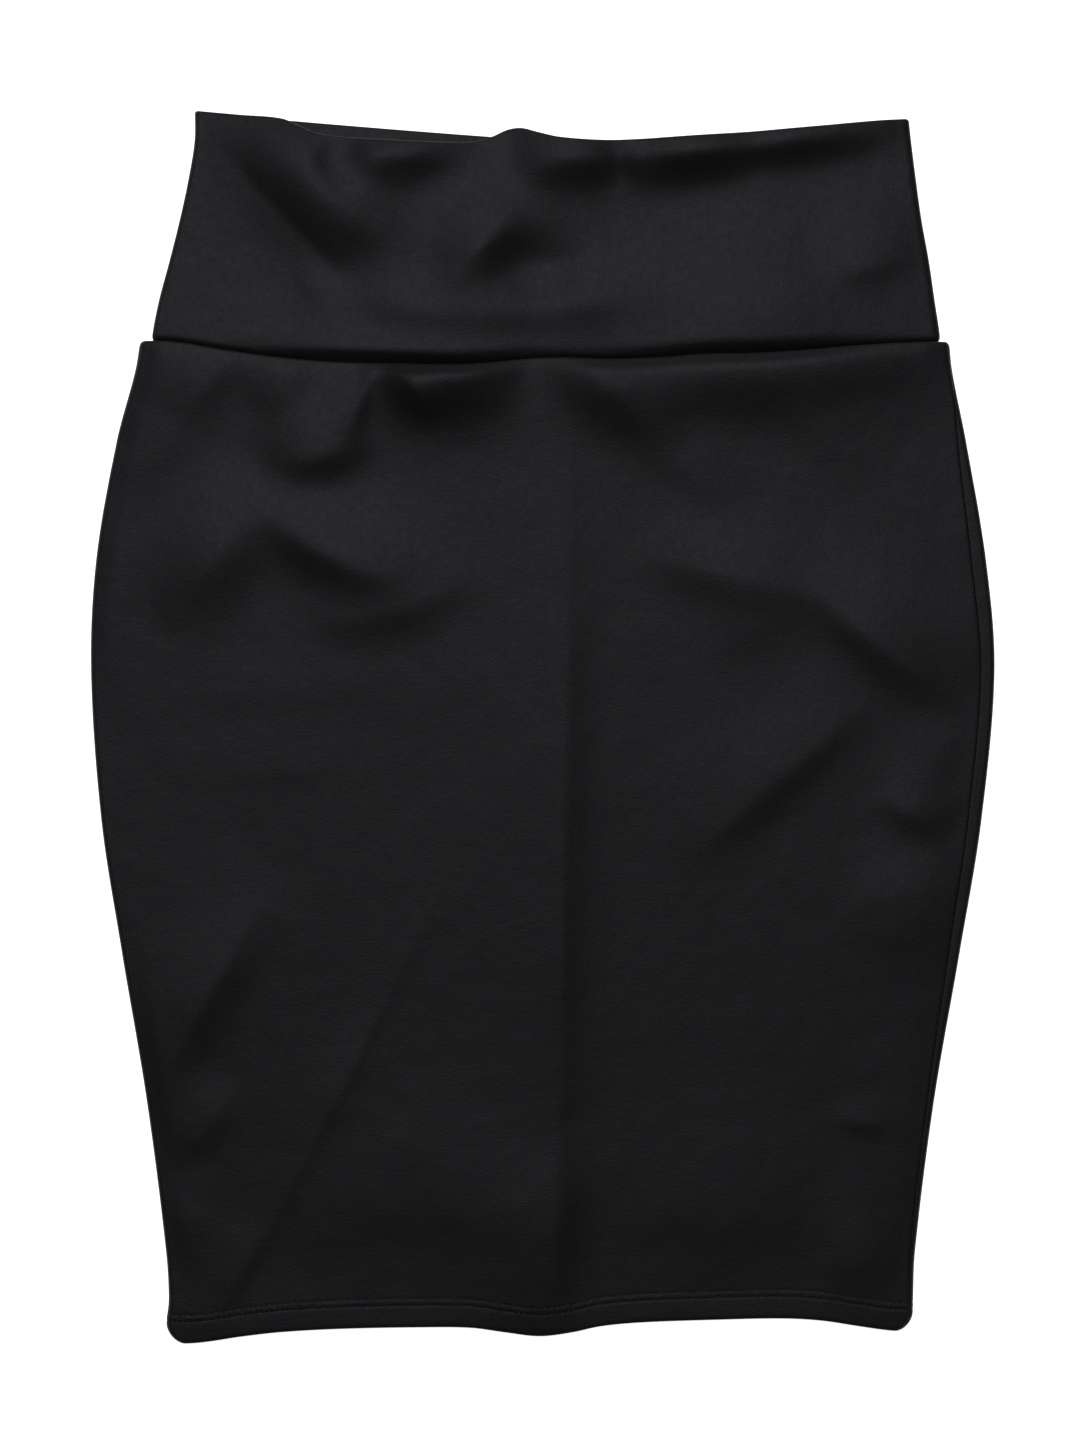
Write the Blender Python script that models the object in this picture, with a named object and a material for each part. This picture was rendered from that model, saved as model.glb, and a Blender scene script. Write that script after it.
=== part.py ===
"""A pull-on pencil skirt in stretch knit, lying flat on its back panel.

+Y runs up the skirt to the waist, +X across it to the viewer's right, and +Z up from the surface
it lies on. The origin is the middle of the skirt's outline, on that surface.

The skirt is two flattened tubes, sewn end to end: the skirt itself, of a front and a back panel,
and a wide waistband of a front and a back half. Each piece is a wall whose outer skin follows the
tube's cross-section: flat underneath, round at the sides, and creased on top.
"""

from collections import namedtuple
from math import cos, exp, pi, radians, sin, sqrt

import bmesh
import bpy
from mathutils import Vector

MM = 0.001  # the sizes and tables below are in millimetres, and the meshes in metres

# The cloth's wall
PLY = 1.1  # one layer of the knit
DOUBLED = 2 * PLY  # the folded waistband, and the turned-up hem
SEAM_WALL = 2.6  # the skirt at the waist seam, whose allowance lies under it
SEAM_GAP = 0.45  # between panels that are sewn together
WAIST_GAP = 0.55  # and between the skirt and its waistband
LEAST_INSIDE = 0.4  # the smallest radius inside a fold

# Sewing
HEM_DEPTH = 15.5
HEM_STEP = 2.0  # over which the turned-up layer ends
ALLOWANCE = 7.0  # the waist seam's allowance, at its full thickness
ALLOWANCE_END = 13.0  # and where it has thinned out
LIP_RADIUS = 2.4  # of the skirt's edge, rolled down into the waist seam
BAND_FOOT_RADIUS = 1.0  # of the waistband's edge there

# How the creases settle
SIDE_FADE = 12.0  # a crease dies out this far from a side
SKIRT_LOWEST = -1.2  # the deepest that a crease sinks
BAND_LOWEST = -0.5

# Mesh
FRONT_COLUMNS = 30
BACK_COLUMNS = 9
SKIRT_ROWS = 26
BAND_ROWS = 8
ROUND_COLUMNS = 7  # round a side of the skirt
SEAM_COLUMNS = 2  # beside a side seam
SEAM_STRIP = 4.0

Side = namedtuple("Side", "y left right rolled stack")
Edge = namedtuple("Edge", "x y")
Corner = namedtuple("Corner", "wide tall cut")
Hold = namedtuple("Hold", "share reach")
Row = namedtuple("Row", "share offset")
Fold = namedtuple("Fold", "x y angle length rise left right bow crease")

# The sides of the lying tubes, from the hem to the waist. rolled is how far the side seams have
# rolled round from the outline, over the front on the right and under the back on the left. stack
# is the height of both panels together at the sides.
SKIRT_SIDES = (
    Side(y=-308, left=-187.4, right=184.2, rolled=3.6, stack=6.0),
    Side(y=-297, left=-188.0, right=184.8, rolled=3.6, stack=6.0),
    Side(y=-286, left=-186.9, right=185.0, rolled=3.8, stack=5.8),
    Side(y=-262, left=-188.3, right=186.0, rolled=4.2, stack=5.0),
    Side(y=-187, left=-197.9, right=195.5, rolled=5.0, stack=4.6),
    Side(y=-112, left=-210.5, right=208.5, rolled=7.1, stack=4.6),
    Side(y=-47, left=-220.6, right=219.2, rolled=8.3, stack=4.6),
    Side(y=28, left=-225.8, right=225.8, rolled=8.5, stack=4.6),
    Side(y=83, left=-223.3, right=221.6, rolled=9.0, stack=4.6),
    Side(y=143, left=-212.9, right=211.5, rolled=6.0, stack=5.0),
    Side(y=178, left=-203.6, right=204.5, rolled=1.6, stack=6.2),
    Side(y=194, left=-201.0, right=203.0, rolled=0.5, stack=6.6),
)
BAND_SIDES = (
    Side(y=180, left=-196.8, right=199.6, rolled=0, stack=5.8),
    Side(y=196, left=-195.2, right=198.4, rolled=0, stack=5.8),
    Side(y=213, left=-191.9, right=195.9, rolled=0, stack=5.6),
    Side(y=233, left=-186.6, right=193.0, rolled=0, stack=5.4),
    Side(y=253, left=-181.6, right=189.4, rolled=0, stack=5.4),
    Side(y=273, left=-177.3, right=186.6, rolled=0, stack=5.4),
    Side(y=293, left=-174.1, right=184.1, rolled=0, stack=5.4),
    Side(y=309, left=-174.0, right=182.4, rolled=0, stack=5.4),
)

# The edges that run across, from left to right.
HEM = (
    Edge(x=-188, y=-307.4),
    Edge(x=-176, y=-307.6),
    Edge(x=-166, y=-306.6),
    Edge(x=-151, y=-304.3),
    Edge(x=-131, y=-302.0),
    Edge(x=-101, y=-300.3),
    Edge(x=-61, y=-299.5),
    Edge(x=-36, y=-299.7),
    Edge(x=-19, y=-301.9),
    Edge(x=-2, y=-303.8),
    Edge(x=14, y=-302.1),
    Edge(x=29, y=-299.0),
    Edge(x=49, y=-297.1),
    Edge(x=84, y=-295.8),
    Edge(x=119, y=-295.1),
    Edge(x=139, y=-296.2),
    Edge(x=159, y=-299.2),
    Edge(x=174, y=-301.2),
    Edge(x=186, y=-301.3),
)
WAIST_SEAM = (
    Edge(x=-204, y=193.2),
    Edge(x=-184, y=192.8),
    Edge(x=-160, y=189.0),
    Edge(x=-135, y=185.4),
    Edge(x=-110, y=183.2),
    Edge(x=-78, y=181.9),
    Edge(x=-47, y=180.9),
    Edge(x=-29, y=181.8),
    Edge(x=-7, y=184.3),
    Edge(x=9, y=184.9),
    Edge(x=31, y=184.0),
    Edge(x=54, y=184.6),
    Edge(x=80, y=186.5),
    Edge(x=109, y=187.1),
    Edge(x=132, y=188.6),
    Edge(x=160, y=191.0),
    Edge(x=184, y=192.4),
    Edge(x=205, y=192.8),
)
BACK_WAIST_SEAM = (
    Edge(x=-204, y=193.2),
    Edge(x=0, y=187.0),
    Edge(x=205, y=192.8),
)
FRONT_TOP = (
    Edge(x=-175, y=307.9),
    Edge(x=-151, y=305.4),
    Edge(x=-130, y=303.2),
    Edge(x=-121, y=299.3),
    Edge(x=-112, y=295.6),
    Edge(x=-98, y=293.8),
    Edge(x=-72, y=292.0),
    Edge(x=-48, y=291.4),
    Edge(x=-34, y=292.0),
    Edge(x=-25, y=294.6),
    Edge(x=-18, y=297.8),
    Edge(x=-11, y=298.7),
    Edge(x=-4, y=296.8),
    Edge(x=8, y=293.8),
    Edge(x=28, y=292.4),
    Edge(x=58, y=293.4),
    Edge(x=98, y=296.1),
    Edge(x=138, y=299.6),
    Edge(x=168, y=302.7),
    Edge(x=184, y=303.8),
)
BACK_TOP = (
    Edge(x=-175, y=307.9),
    Edge(x=-151, y=305.4),
    Edge(x=-111, y=301.9),
    Edge(x=-71, y=298.6),
    Edge(x=-36, y=295.9),
    Edge(x=-1, y=293.4),
    Edge(x=28, y=291.8),
    Edge(x=78, y=294.2),
    Edge(x=138, y=299.2),
    Edge(x=184, y=303.3),
)
HEM_CORNER = Corner(wide=10.5, tall=10.5, cut=2.6)
SHOULDER_CORNER = Corner(wide=3.5, tall=4.0, cut=0.5)
BAND_TOP_CORNER = Corner(wide=1.6, tall=2.2, cut=0.4)
NO_CORNER = Corner(wide=0.0, tall=1.0, cut=0.0)

# How much the creases are held down at an edge, easing off over reach
HEM_HOLD = Hold(share=0.0, reach=1.0)
SKIRT_SEAM_HOLD = Hold(share=0.3, reach=7.0)
BAND_SEAM_HOLD = Hold(share=0.65, reach=6.0)
BAND_TOP_HOLD = Hold(share=0.08, reach=10.0)

# Creases, each a ridge with its middle at x, y and its crest at angle degrees from +X. left and
# right are how far it falls away on the left and the right of that direction, bow is how far its
# middle bows to the left, and crease is 0 for a soft crest to 1 for a sharp one.
SKIRT_FOLDS = (
    # pulled down from the seam on the left
    Fold(x=-190, y=148, angle=52, length=100, rise=1.8, left=34, right=20, bow=0, crease=0),
    Fold(x=-112, y=143, angle=14, length=72, rise=4.0, left=26, right=12, bow=-6, crease=0),
    Fold(x=-49, y=181, angle=8, length=94, rise=7.8, left=12, right=20, bow=-5, crease=0),
    # the left hip
    Fold(x=-161, y=87, angle=55, length=106, rise=3.9, left=30, right=18, bow=0, crease=0.1),
    Fold(x=-103, y=96, angle=-27, length=108, rise=4.2, left=26, right=12, bow=-11, crease=0.2),
    Fold(x=-77, y=69, angle=16, length=115, rise=2.5, left=30, right=13, bow=-9, crease=0),
    Fold(x=-225, y=75, angle=85, length=149, rise=1.6, left=48, right=20, bow=0, crease=0),
    # under the seam on the right
    Fold(x=34, y=168, angle=-41, length=98, rise=4.2, left=22, right=16, bow=0, crease=0.1),
    Fold(x=112, y=191, angle=6, length=236, rise=4.8, left=12, right=20, bow=-11, crease=0),
    Fold(x=140, y=149, angle=-42, length=84, rise=1.2, left=30, right=15, bow=0, crease=0),
    # the right hip
    Fold(x=98, y=78, angle=-13, length=128, rise=2.6, left=26, right=13, bow=-4, crease=0.2),
    Fold(x=167, y=44, angle=-39, length=120, rise=3.9, left=30, right=13, bow=-2, crease=0.3),
    Fold(x=118, y=-25, angle=41, length=154, rise=2.3, left=28, right=11, bow=0, crease=0.1),
    Fold(x=178, y=-86, angle=12, length=72, rise=2.2, left=24, right=30, bow=0, crease=0),
    # pressed down the middle of the front
    Fold(x=9, y=-87, angle=89, length=520, rise=2.8, left=44, right=13, bow=0, crease=0.6),
    Fold(x=2, y=-258, angle=83, length=129, rise=3.0, left=34, right=16, bow=0, crease=0),
    # the lower left
    Fold(x=-166, y=-133, angle=61, length=148, rise=3.2, left=30, right=13, bow=0, crease=0.4),
    Fold(x=-62, y=-234, angle=2, length=189, rise=2.1, left=50, right=36, bow=0, crease=0),
    # the lower right
    Fold(x=85, y=-241, angle=2, length=153, rise=2.1, left=50, right=32, bow=0, crease=0),
    Fold(x=157, y=-264, angle=9, length=50, rise=2.0, left=34, right=16, bow=0, crease=0),
)
BAND_FOLDS = (
    # under the top edge
    Fold(x=-71, y=287, angle=8, length=80, rise=6.6, left=26, right=13, bow=0, crease=0),
    Fold(x=17, y=285, angle=6, length=76, rise=5.4, left=60, right=13, bow=0, crease=0),
    Fold(x=67, y=288, angle=5, length=84, rise=7.0, left=22, right=14, bow=0, crease=0),
    Fold(x=122, y=294, angle=8, length=138, rise=5.6, left=18, right=11, bow=0, crease=0),
    # across the face
    Fold(x=-112, y=268, angle=-47, length=152, rise=7.6, left=34, right=22, bow=1, crease=0),
    Fold(x=-31, y=239, angle=42, length=76, rise=5.0, left=26, right=13, bow=0, crease=0.2),
    Fold(x=-10, y=250, angle=0, length=96, rise=1.7, left=36, right=44, bow=0, crease=0),
    Fold(x=-2, y=229, angle=-6, length=62, rise=-3.0, left=14, right=26, bow=0, crease=0),
    Fold(x=169, y=232, angle=18, length=61, rise=1.8, left=27, right=12, bow=0, crease=0),
    Fold(x=-28, y=220, angle=2, length=230, rise=3.2, left=19, right=13, bow=-11, crease=0),
    Fold(x=-80, y=219, angle=-10, length=100, rise=1.8, left=18, right=12, bow=-3, crease=0),
    Fold(x=-7, y=275, angle=3, length=149, rise=1.7, left=58, right=24, bow=0, crease=0),
    # swelling above the waist seam
    Fold(x=-70, y=185, angle=-3, length=200, rise=4.2, left=20, right=5, bow=-2, crease=0),
    Fold(x=95, y=190, angle=3, length=204, rise=3.0, left=50, right=5, bow=0, crease=0),
)


def smooth(rows, key, column, at):
    """A cubic curve through a table's column, level with its neighbours' slope at each row."""
    keys = [getattr(row, key) for row in rows]
    values = [getattr(row, column) for row in rows]
    last = len(rows) - 1

    def slope(i):
        low, high = max(i - 1, 0), min(i + 1, last)
        return (values[high] - values[low]) / (keys[high] - keys[low])

    at = min(max(at, keys[0]), keys[last])
    i = max(n for n in range(last) if keys[n] <= at)
    width = keys[i + 1] - keys[i]
    t = (at - keys[i]) / width
    start = values[i] * (1 + 2 * t) * (1 - t) ** 2 + slope(i) * width * t * (1 - t) ** 2
    end = values[i + 1] * (3 - 2 * t) * t**2 + slope(i + 1) * width * (t - 1) * t**2
    return start + end


def ease(share):
    """From 0 to 1, level at both ends."""
    share = min(max(share, 0), 1)
    return share * share * (3 - 2 * share)


def rounding(distance, radius):
    """How far a rounded edge has drawn back, at this distance from its end."""
    if distance >= radius:
        return 0.0
    return radius - sqrt(radius**2 - (radius - max(distance, 0)) ** 2)


def cut_in(corner, distance):
    """How far a corner of the outline has drawn in, this far from the piece's end."""
    return corner.wide * rounding((distance + corner.cut) / corner.tall, 1)


def ridge(fold, x, y):
    """The height that one crease adds at a point."""
    direction = radians(fold.angle)
    along = (x - fold.x) * cos(direction) + (y - fold.y) * sin(direction)
    across = (y - fold.y) * cos(direction) - (x - fold.x) * sin(direction)
    share = 2 * along / fold.length
    if abs(share) >= 1:
        return 0.0
    across -= fold.bow * (1 - share**2)
    fall = abs(across) / (fold.left if across > 0 else fold.right)
    soft, sharp = exp(-(fall**2)), exp(-1.4 * fall)
    return fold.rise * (1 - share**2) ** 2 * (soft + fold.crease * (sharp - soft))


class Tube:
    """One flattened tube of the skirt: its outline, its cross-sections and the creases on it."""

    def __init__(self, sides, lower, upper, corners, holds, folds, lowest):
        self.sides, self.lower, self.upper = sides, lower, upper
        self.low_corner, self.high_corner = corners
        self.low_hold, self.high_hold = holds
        self.folds, self.lowest = folds, lowest

    def from_edges(self, x, y):
        """How far a point is above the tube's lower edge and below its upper edge."""
        return y - smooth(self.lower, "x", "y", x), smooth(self.upper, "x", "y", x) - y

    def row_y(self, row, x):
        low, high = smooth(self.lower, "x", "y", x), smooth(self.upper, "x", "y", x)
        return low + (high - low) * row.share + row.offset

    def row_end(self, row, side):
        """Where a row meets the outline on a side, drawn in at the tube's corners."""
        inwards = 1 if side == "left" else -1
        x = getattr(self.sides[0], side)
        for _ in range(6):
            y = self.row_y(row, x)
            low, high = self.from_edges(x, y)
            drawn_in = cut_in(self.low_corner, low) + cut_in(self.high_corner, high)
            x = smooth(self.sides, "y", side, y) + inwards * drawn_in
        return x, y

    def section(self, row):
        """The cross-section along a row."""
        left, left_y = self.row_end(row, "left")
        right, right_y = self.row_end(row, "right")
        stack = smooth(self.sides, "y", "stack", (left_y + right_y) / 2)
        return Section(left, right, stack, smooth(self.sides, "y", "rolled", right_y))

    def relief(self, x, y):
        """The height of the creases above the flattened tube."""
        high = max(sum(ridge(fold, x, y) for fold in self.folds), self.lowest)
        for distance, hold in zip(self.from_edges(x, y), (self.low_hold, self.high_hold)):
            high *= 1 - hold.share * (1 - ease(distance / hold.reach))
        from_left = x - smooth(self.sides, "y", "left", y)
        from_right = smooth(self.sides, "y", "right", y) - x
        return high * ease(from_left / SIDE_FADE) * ease(from_right / SIDE_FADE)


class Section:
    """A flattened tube's outer skin along one row, measured from its left edge over the top."""

    def __init__(self, left, right, stack, seam):
        self.left, self.right, self.seam = left, right, seam
        self.radius = stack / 2
        self.quarter = pi * self.radius / 2
        self.over = 2 * self.quarter + right - left - stack

    def at(self, way):
        """The x and z of the skin, and whether it is the top."""
        r, quarter = self.radius, self.quarter
        from_left = min(abs(way), 2 * self.over - way)
        from_right = abs(way - self.over)
        on_top = 0 <= way <= self.over
        lift = 1 if on_top else -1
        if min(from_left, from_right) >= quarter:
            x = self.left + r - quarter + from_left
            if way > self.over:
                x = self.right - r + quarter - from_right
            return x, r + lift * r, on_top
        turn = min(from_left, from_right) / r
        x = self.left + r - r * cos(turn)
        if from_right < from_left:
            x = self.right - r + r * cos(turn)
        return x, r + lift * r * sin(turn), on_top


def spread(stations, counts):
    """Places from the first station to the last, with this many steps between each two.

    One place more at each end is the next piece's edge, which gives the seam its direction.
    """
    places = [stations[0]]
    for start, end, count in zip(stations, stations[1:], counts):
        places += [start + (end - start) * (n + 1) / count for n in range(count)]
    return [stations[0] - SEAM_GAP] + places + [stations[-1] + SEAM_GAP]


def front_ways(section, columns):
    """Where the front's columns lie: from the left side seam, over the top, to the right one."""
    start = SEAM_GAP / 2 - section.seam
    end = section.over - section.seam - SEAM_GAP / 2
    stations = (start, section.quarter + 1, end - SEAM_STRIP, end)
    return spread(stations, (ROUND_COLUMNS, columns, SEAM_COLUMNS))


def back_ways(section, columns):
    """Where the back's columns lie: from the right side seam, underneath, to the left one."""
    start = section.over - section.seam + SEAM_GAP / 2
    end = 2 * section.over - section.seam - SEAM_GAP / 2
    round_it = section.over + section.quarter + 1
    stations = (start, round_it, end - SEAM_STRIP, end)
    return spread(stations, (ROUND_COLUMNS, columns, SEAM_COLUMNS))


def rows_between(low_steps, high_steps, count):
    """Rows at set distances from the lower and upper edges, with others spread between them."""
    rows = [Row(0, step) for step in low_steps]
    for n in range(1, count + 1):
        share = n / (count + 1)
        rows.append(Row(share, low_steps[-1] * (1 - share) - high_steps[0] * share))
    return rows + [Row(1, -step) for step in high_steps]


def skirt_wall(low, high):
    """The skirt's thickness: doubled in the hem, and thick over the waist seam's allowance."""
    hem = ease((HEM_DEPTH + HEM_STEP - low) / HEM_STEP)
    seam = ease((ALLOWANCE_END - high) / (ALLOWANCE_END - ALLOWANCE))
    return PLY + (DOUBLED - PLY) * hem + (SEAM_WALL - PLY) * seam


def skirt_edge(low, high):
    """How far the skirt's outer and inner skins draw back: round the hem's fold, and at the lip.

    The last value is how much of a slope's lean the wall follows: none at either end.
    """
    fold = rounding(low, PLY - SEAM_GAP / 2)
    lean = ease(low / HEM_DEPTH) * ease(high / ALLOWANCE)
    return fold + rounding(high, LIP_RADIUS), fold, lean


def band_wall(low, high):
    return DOUBLED


def band_edge(low, high):
    """The same for the waistband: round the fold at its top, and at its foot in the seam."""
    fold = rounding(high, PLY - SEAM_GAP / 2)
    return fold + rounding(low, BAND_FOOT_RADIUS), fold, ease(low / ALLOWANCE)


def knit(name):
    """Matt black scuba knit."""
    material = bpy.data.materials.new(name)
    material.use_nodes = True
    shader = material.node_tree.nodes["Principled BSDF"]
    shader.inputs["Base Color"].default_value = (0.011, 0.011, 0.012, 1)
    shader.inputs["Roughness"].default_value = 0.55
    shader.inputs["Metallic"].default_value = 0
    return material


def panel(name, tube, rows, ways, columns, wall_at, edge_at, parent):
    """One piece of the garment: its outer skin as a grid, and its inner skin a wall below."""
    sections = [tube.section(row) for row in rows]
    places = [ways(section, columns) for section in sections]
    across, along = len(places[0]) - 1, len(rows) - 1
    maker = bmesh.new()
    bmesh.ops.create_grid(maker, x_segments=across, y_segments=along, size=1)
    grid, edges = {}, {}
    for vertex in maker.verts:
        column = round((vertex.co.x + 1) / 2 * across)
        row = round((vertex.co.y + 1) / 2 * along)
        grid[row, column] = vertex
        x, z, on_top = sections[row].at(places[row][column])
        y = tube.row_y(rows[row], x)
        low, high = tube.from_edges(x, y)
        if on_top:
            z += tube.relief(x, y)
        vertex.co = Vector((x, y, z)) * MM
        edges[vertex] = (low, high, sections[row].radius)
    maker.normal_update()
    next_pieces = {1: 0, across - 1: across}
    inwards = {
        vertex: -grid[row, next_pieces.get(column, column)].normal
        for (row, column), vertex in grid.items()
    }
    walls = {}
    for vertex, (low, high, radius) in edges.items():
        outer, inner, lean = edge_at(low, high)
        wall = min(wall_at(low, high), radius - LEAST_INSIDE) - outer - inner
        vertex.co += inwards[vertex] * Vector((1, 0, 1)) * outer * MM
        walls[vertex] = inwards[vertex] * Vector((1, lean, 1)) * wall * MM
    past_seams = [vertex for (row, column), vertex in grid.items() if column in (0, across)]
    bmesh.ops.delete(maker, geom=past_seams, context="VERTS")
    outer_skin = list(maker.verts)
    copied = bmesh.ops.duplicate(maker, geom=maker.faces[:])
    inner_faces = [part for part in copied["geom"] if isinstance(part, bmesh.types.BMFace)]
    for vertex in outer_skin:
        copied["vert_map"][vertex].co += walls[vertex]
    bmesh.ops.reverse_faces(maker, faces=inner_faces)
    rims = [edge for edge in maker.edges if edge.is_boundary]
    bmesh.ops.bridge_loops(maker, edges=rims)
    mesh = bpy.data.meshes.new(name)
    maker.to_mesh(mesh)
    maker.free()
    mesh.shade_smooth()
    mesh.materials.append(knit(name))
    piece = bpy.data.objects.new(name, mesh)
    bpy.context.scene.collection.objects.link(piece)
    piece.parent = parent


def build():
    for old in list(bpy.data.objects):
        bpy.data.objects.remove(old)
    skirt = bpy.data.objects.new("pencil_skirt", None)
    bpy.context.scene.collection.objects.link(skirt)

    skirt_ends = ((HEM_CORNER, SHOULDER_CORNER), (HEM_HOLD, SKIRT_SEAM_HOLD))
    band_ends = ((NO_CORNER, BAND_TOP_CORNER), (BAND_SEAM_HOLD, BAND_TOP_HOLD))
    skirt_front = Tube(SKIRT_SIDES, HEM, WAIST_SEAM, *skirt_ends, SKIRT_FOLDS, SKIRT_LOWEST)
    skirt_back = Tube(SKIRT_SIDES, HEM, BACK_WAIST_SEAM, *skirt_ends, (), SKIRT_LOWEST)
    band_front = Tube(BAND_SIDES, WAIST_SEAM, FRONT_TOP, *band_ends, BAND_FOLDS, BAND_LOWEST)
    band_back = Tube(BAND_SIDES, BACK_WAIST_SEAM, BACK_TOP, *band_ends, (), BAND_LOWEST)
    hem_steps = (0, 0.35, 0.95, 6, HEM_DEPTH, HEM_DEPTH + HEM_STEP)
    lip_steps = (ALLOWANCE_END, ALLOWANCE, LIP_RADIUS, 1.2, WAIST_GAP)
    foot_steps = (0, 0.3, BAND_FOOT_RADIUS, 5)
    top_steps = (5, 0.95, 0.35, 0)
    panel(
        "skirt_front", skirt_front, rows_between(hem_steps, lip_steps, SKIRT_ROWS),
        front_ways, FRONT_COLUMNS, skirt_wall, skirt_edge, skirt,
    )
    panel(
        "skirt_back", skirt_back, rows_between(hem_steps, lip_steps, SKIRT_ROWS),
        back_ways, BACK_COLUMNS, skirt_wall, skirt_edge, skirt,
    )
    panel(
        "waistband_front", band_front, rows_between(foot_steps, top_steps, BAND_ROWS),
        front_ways, FRONT_COLUMNS, band_wall, band_edge, skirt,
    )
    panel(
        "waistband_back", band_back, rows_between(foot_steps, top_steps, BAND_ROWS),
        back_ways, BACK_COLUMNS, band_wall, band_edge, skirt,
    )


build()
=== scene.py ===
# A black pull-on pencil skirt in scuba knit, laid flat with its front up.
# +Y runs up the skirt to the waist, +X to the right and +Z up. The tables are in millimetres.
import math
from collections import namedtuple

import bmesh
import bpy
import numpy as np
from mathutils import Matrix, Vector


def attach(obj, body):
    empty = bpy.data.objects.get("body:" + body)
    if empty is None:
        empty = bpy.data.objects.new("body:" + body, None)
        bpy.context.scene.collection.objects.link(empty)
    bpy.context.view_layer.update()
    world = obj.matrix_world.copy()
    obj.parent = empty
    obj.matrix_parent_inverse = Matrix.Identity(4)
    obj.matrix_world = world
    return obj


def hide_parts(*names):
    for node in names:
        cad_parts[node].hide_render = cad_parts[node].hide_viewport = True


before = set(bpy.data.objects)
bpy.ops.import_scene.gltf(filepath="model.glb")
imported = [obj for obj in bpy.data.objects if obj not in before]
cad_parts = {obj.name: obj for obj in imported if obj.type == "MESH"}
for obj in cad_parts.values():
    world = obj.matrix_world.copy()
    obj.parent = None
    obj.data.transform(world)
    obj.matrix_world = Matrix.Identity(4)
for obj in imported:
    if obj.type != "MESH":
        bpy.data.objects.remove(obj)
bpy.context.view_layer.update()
mm = 0.001

# ---- camera, lights and floor

camera = {"lens": 90, "height": 1.8115, "x": 0.0001, "y": 0.0015, "near": 0.05, "far": 50}
lights = {
    "window": {"at": (-0.3, 1.8, 5.3), "size": (2.2, 1.5), "power": 167, "colour": (0.93, 0.93, 1.0)},
    "fill": {"at": (0.9, -1.2, 2.1), "size": (1.8, 1.8), "power": 1, "colour": (0.94, 0.97, 1.0)},
    "lowRight": {"at": (2.6, -1.9, 1.0), "size": (2.4, 1.2), "power": 5, "colour": (0.95, 0.97, 1.0)},
    "lowLeft": {"at": (-2.9, 0.8, 1.0), "size": (2.4, 1.2), "power": 16, "colour": (0.95, 0.97, 1.0)},
    "lowFar": {"at": (0.8, 3.0, 1.1), "size": (4.5, 1.2), "power": 24, "colour": (0.95, 0.97, 1.0)},
}
surround = {
    "sky": 0.04,
    "floor": 0.86,
    "floorRoughness": 0.9,
    "floorShine": 0.1,
    "floorGlow": 0.95,
    "floorSize": 14,
    "floorTop": -0.0003,
}


def placeCamera():
    eye = bpy.data.cameras.new("camera")
    eye.lens = camera["lens"]
    eye.clip_start, eye.clip_end = camera["near"], camera["far"]
    stand = bpy.data.objects.new("camera", eye)
    stand.location = (camera["x"], camera["y"], camera["height"])
    bpy.context.scene.collection.objects.link(stand)
    bpy.context.scene.camera = stand
    bpy.context.scene.view_settings.view_transform = "Standard"
    bpy.context.scene.view_settings.look = "None"


def hangLights():
    for name, light in lights.items():
        lamp = bpy.data.lights.new(name, "AREA")
        lamp.shape = "RECTANGLE"
        lamp.size, lamp.size_y = light["size"]
        lamp.energy = light["power"]
        lamp.color = light["colour"]
        rig = bpy.data.objects.new(name, lamp)
        rig.location = light["at"]
        rig.rotation_euler = (-Vector(light["at"])).to_track_quat("-Z", "Y").to_euler()
        rig.visible_camera = False
        bpy.context.scene.collection.objects.link(rig)
    world = bpy.data.worlds.new("studio")
    world.use_nodes = True
    backdrop = world.node_tree.nodes["Background"]
    backdrop.inputs["Color"].default_value = (1, 1, 1, 1)
    backdrop.inputs["Strength"].default_value = surround["sky"]
    bpy.context.scene.world = world


def layFloor():
    plane = bmesh.new()
    bmesh.ops.create_grid(plane, x_segments=1, y_segments=1, size=surround["floorSize"] / 2)
    bmesh.ops.translate(plane, vec=(0, 0, surround["floorTop"]), verts=plane.verts)
    floor = asObject("floor", plane)
    paper = Finish("paper")
    paper.shade(
        {
            "Base Color": (surround["floor"],) * 3 + (1,),
            "Roughness": surround["floorRoughness"],
            "Specular IOR Level": surround["floorShine"],
            "Emission Color": (1, 1, 1, 1),
            "Emission Strength": surround["floorGlow"],
        }
    )
    floor.data.materials.append(paper.material)


# ---- materials


class Level:
    # a number that changes over a surface; sums on it add Math nodes
    def __init__(self, finish, socket):
        self.finish, self.socket = finish, socket

    def maths(self, operation, *values):
        node = self.finish.add("ShaderNodeMath", {"operation": operation}, dict(enumerate(values)))
        return Level(self.finish, node.outputs[0])

    def __add__(self, other):
        return self.maths("ADD", self, other)

    def __sub__(self, other):
        return self.maths("SUBTRACT", self, other)

    def __rsub__(self, other):
        return self.maths("SUBTRACT", other, self)

    def __mul__(self, other):
        return self.maths("MULTIPLY", self, other)

    def __abs__(self):
        return self.maths("ABSOLUTE", self)

    __radd__ = __add__


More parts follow.
